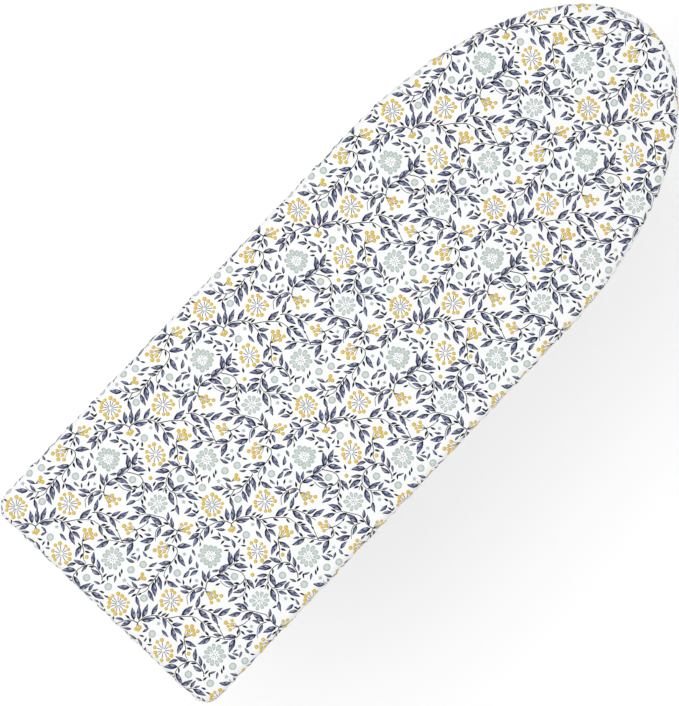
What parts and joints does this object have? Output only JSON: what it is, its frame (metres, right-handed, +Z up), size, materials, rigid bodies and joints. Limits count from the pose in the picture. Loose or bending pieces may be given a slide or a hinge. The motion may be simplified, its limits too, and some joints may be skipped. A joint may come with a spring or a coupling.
{
  "type": "ironing board",
  "caption": "Free-standing folding ironing board: padded printed cover on a steel mesh deck, scissor legs, notched height rack and side lever.",
  "frame": {"origin": "on the floor, under the centre of the bounding box, with the board standing open at its highest setting", "axes": "+X towards the rounded nose, +Y towards the board's left side with the lever, +Z up"},
  "size_m": [1.25, 0.46, 0.89],
  "materials": {
    "printed_cotton": "matt woven cotton, white ground with a small floral print",
    "felt": "matt needle felt",
    "elastic": "white braided elastic",
    "powder_coat": "satin white powder coat",
    "zinc_steel": "bright zinc plate",
    "dark_plastic": "fine-textured dark grey plastic",
    "white_nylon": "natural nylon"
  },
  "bodies": {
    "top": {"cover": "printed_cotton", "hem_elastic": "elastic", "underlay_pad": "felt", "mesh_deck": "powder_coat", "edge_rim": "powder_coat", "rib_nose": "powder_coat", "rib_middle": "powder_coat", "rib_rack": "powder_coat", "rib_tail": "powder_coat", "pivot_bracket_left": "powder_coat", "pivot_bracket_right": "powder_coat", "guide_rail_left": "zinc_steel", "guide_rail_right": "zinc_steel", "bracket_rivet_left": "zinc_steel", "bracket_rivet_right": "zinc_steel", "rail_rivet_rack_left": "zinc_steel", "rail_rivet_rack_right": "zinc_steel", "rail_rivet_tail_left": "zinc_steel", "rail_rivet_tail_right": "zinc_steel", "lever_lug_rack": "powder_coat", "lever_lug_tail": "powder_coat", "lever_axle": "zinc_steel", "lever_spring": "zinc_steel", "pivot_shaft": "zinc_steel", "shaft_cap_left": "zinc_steel", "shaft_cap_right": "zinc_steel"},
    "outer_leg": {"outer_leg_tube_left": "powder_coat", "outer_leg_tube_right": "powder_coat", "outer_brace": "powder_coat", "outer_foot_bar": "powder_coat", "outer_foot_cap_left": "dark_plastic", "outer_foot_cap_right": "dark_plastic", "cross_bolt_left": "zinc_steel", "cross_bolt_right": "zinc_steel", "cross_nut_left": "zinc_steel", "cross_nut_right": "zinc_steel", "cross_spacer_left": "white_nylon", "cross_spacer_right": "white_nylon"},
    "inner_leg": {"inner_leg_tube_left": "powder_coat", "inner_leg_tube_right": "powder_coat", "inner_brace": "powder_coat", "inner_foot_bar": "powder_coat", "inner_foot_cap_left": "dark_plastic", "inner_foot_cap_right": "dark_plastic"},
    "slider": {"slider_rod": "zinc_steel", "slider_glide_left": "white_nylon", "slider_glide_right": "white_nylon", "slider_cap_left": "dark_plastic", "slider_cap_right": "dark_plastic"},
    "height_lever": {"height_rack": "zinc_steel", "lever_bar": "zinc_steel", "lever_link": "zinc_steel", "lever_grip": "dark_plastic"}
  },
  "joints": [
    {"name": "fold", "type": "hinge", "parent": "top", "child": "outer_leg", "pos_m": [0.285, 0, 0.846], "axis": [0, 1, 0], "range_deg": [0, 49.34]},
    {"name": "scissor", "type": "hinge", "parent": "outer_leg", "child": "inner_leg", "pos_m": [0.02376, 0, 0.51713], "axis": [0, 1, 0], "range_deg": [-98.68, 0]},
    {"name": "slider_level", "type": "hinge", "parent": "inner_leg", "child": "slider", "pos_m": [-0.23748, 0, 0.846], "axis": [0, 1, 0], "range_deg": [0, 49.34]},
    {"name": "height_lever", "type": "hinge", "parent": "top", "child": "height_lever", "pos_m": [-0.3435, -0.06, 0.856], "axis": [1, 0, 0], "range_deg": [0, 2.3], "stiffness_Nm_per_rad": 3, "springref_deg": -8.59}
  ],
  "couplings": [
    {"joint": "scissor", "follows": "fold", "ratio": -2},
    {"joint": "slider_level", "follows": "fold", "ratio": 1}
  ]
}
